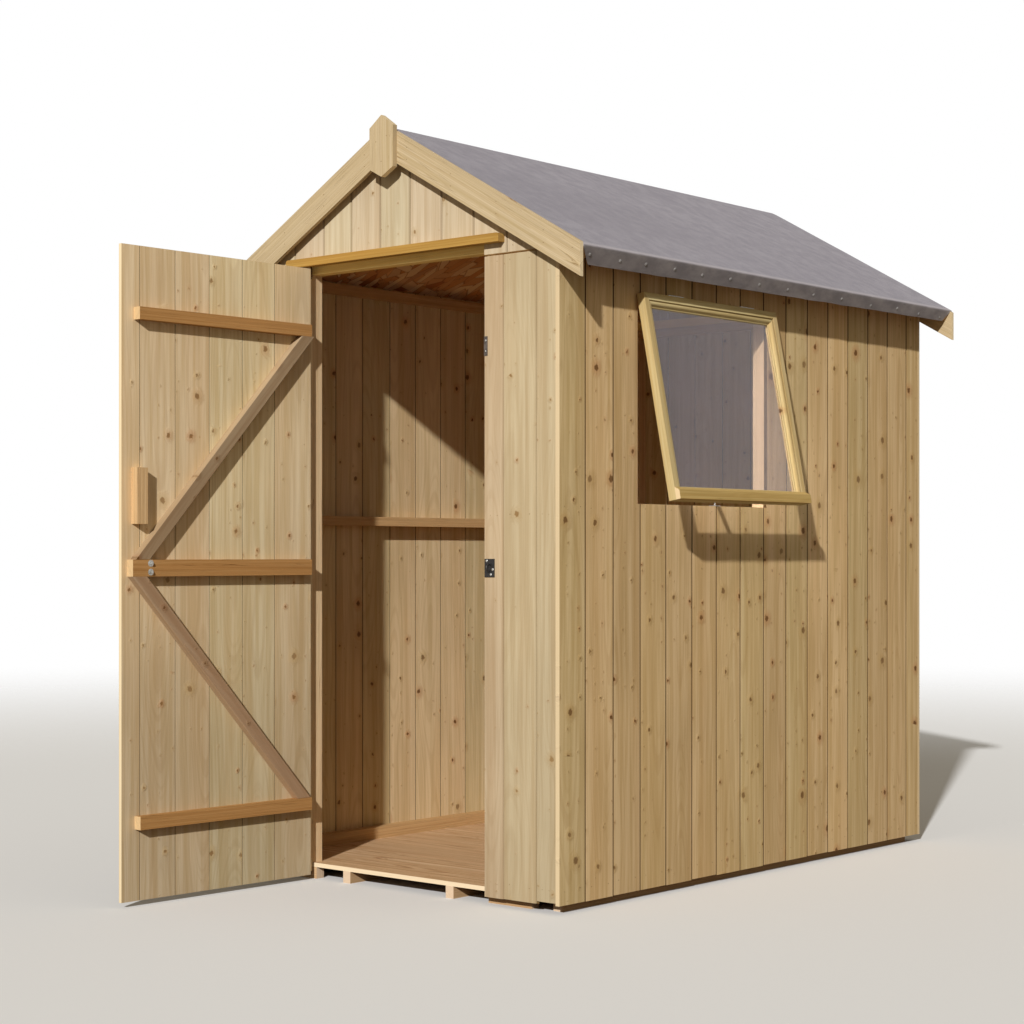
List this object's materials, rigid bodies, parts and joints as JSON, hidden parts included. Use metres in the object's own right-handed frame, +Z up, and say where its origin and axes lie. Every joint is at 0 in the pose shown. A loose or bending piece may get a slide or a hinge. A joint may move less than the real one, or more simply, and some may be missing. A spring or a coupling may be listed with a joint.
{
  "type": "wooden garden shed",
  "caption": "Small apex-roofed wooden garden shed with a board floor, a ledged and braced door that swings out, and a top-hung side window standing ajar.",
  "frame": {"origin": "bottom centre of the whole shed's box, on the ground, with the door open as at rest", "axes": "+X towards the window wall, +Y from the door end to the back end, +Z up"},
  "size_m": [1.4239, 2.5322, 2.1113],
  "materials": {
    "floor_bearers": "dip-treated softwood",
    "floor_noggins": "dip-treated softwood",
    "floor_deck": "dip-treated softwood",
    "front_left_wall": "dip-treated softwood",
    "front_right_wall": "dip-treated softwood",
    "front_gable": "dip-treated softwood",
    "back_wall": "dip-treated softwood",
    "back_gable": "dip-treated softwood",
    "left_wall": "dip-treated softwood",
    "right_wall": "dip-treated softwood",
    "end_wall_posts": "dip-treated softwood",
    "end_wall_rails": "dip-treated softwood",
    "side_wall_posts": "dip-treated softwood",
    "side_wall_rails": "dip-treated softwood",
    "gable_headers": "dip-treated softwood",
    "left_rafters": "dip-treated softwood",
    "right_rafters": "dip-treated softwood",
    "drip_batten": "dip-treated softwood",
    "left_roof_board": "raw strand board",
    "right_roof_board": "raw strand board",
    "roof_felt": "mineral felt",
    "eave_battens": "dip-treated softwood",
    "left_verge_battens": "dip-treated softwood",
    "right_verge_battens": "dip-treated softwood",
    "front_left_bargeboard": "dip-treated softwood",
    "front_right_bargeboard": "dip-treated softwood",
    "back_left_bargeboard": "dip-treated softwood",
    "back_right_bargeboard": "dip-treated softwood",
    "front_finial": "dip-treated softwood",
    "back_finial": "dip-treated softwood",
    "window_sash": "dip-treated softwood",
    "window_weather_rail": "dip-treated softwood",
    "window_glass": "clear",
    "window_hinges": "zinc plated",
    "window_stay": "zinc plated",
    "staple": "black japanned",
    "keeper_plate": "zinc plated",
    "door_hinge_plates": "black japanned",
    "door_boards": "dip-treated softwood",
    "door_ledges": "dip-treated softwood",
    "door_braces": "dip-treated softwood",
    "door_lock_block": "dip-treated softwood",
    "door_hinge_straps": "black japanned",
    "door_hasp": "black japanned"
  },
  "bodies": {
    "shed": {"floor_bearers": "floor_bearers", "floor_noggins": "floor_noggins", "floor_deck": "floor_deck", "front_left_wall": "front_left_wall", "front_right_wall": "front_right_wall", "front_gable": "front_gable", "back_wall": "back_wall", "back_gable": "back_gable", "left_wall": "left_wall", "right_wall": "right_wall", "end_wall_posts": "end_wall_posts", "end_wall_rails": "end_wall_rails", "side_wall_posts": "side_wall_posts", "side_wall_rails": "side_wall_rails", "gable_headers": "gable_headers", "left_rafters": "left_rafters", "right_rafters": "right_rafters", "drip_batten": "drip_batten", "left_roof_board": "left_roof_board", "right_roof_board": "right_roof_board", "roof_felt": "roof_felt", "eave_battens": "eave_battens", "left_verge_battens": "left_verge_battens", "right_verge_battens": "right_verge_battens", "front_left_bargeboard": "front_left_bargeboard", "front_right_bargeboard": "front_right_bargeboard", "back_left_bargeboard": "back_left_bargeboard", "back_right_bargeboard": "back_right_bargeboard", "front_finial": "front_finial", "back_finial": "back_finial", "window_sash": "window_sash", "window_weather_rail": "window_weather_rail", "window_glass": "window_glass", "window_hinges": "window_hinges", "window_stay": "window_stay", "staple": "staple", "keeper_plate": "keeper_plate", "door_hinge_plates": "door_hinge_plates"},
    "door": {"door_boards": "door_boards", "door_ledges": "door_ledges", "door_braces": "door_braces", "door_lock_block": "door_lock_block", "door_hinge_straps": "door_hinge_straps", "door_hasp": "door_hasp"}
  },
  "joints": [
    {"name": "door_hinge", "type": "hinge", "parent": "shed", "child": "door", "pos_m": [-0.3515, -0.611, 0.8705], "axis": [0, 0, 1], "range_deg": [-66, 92]}
  ]
}
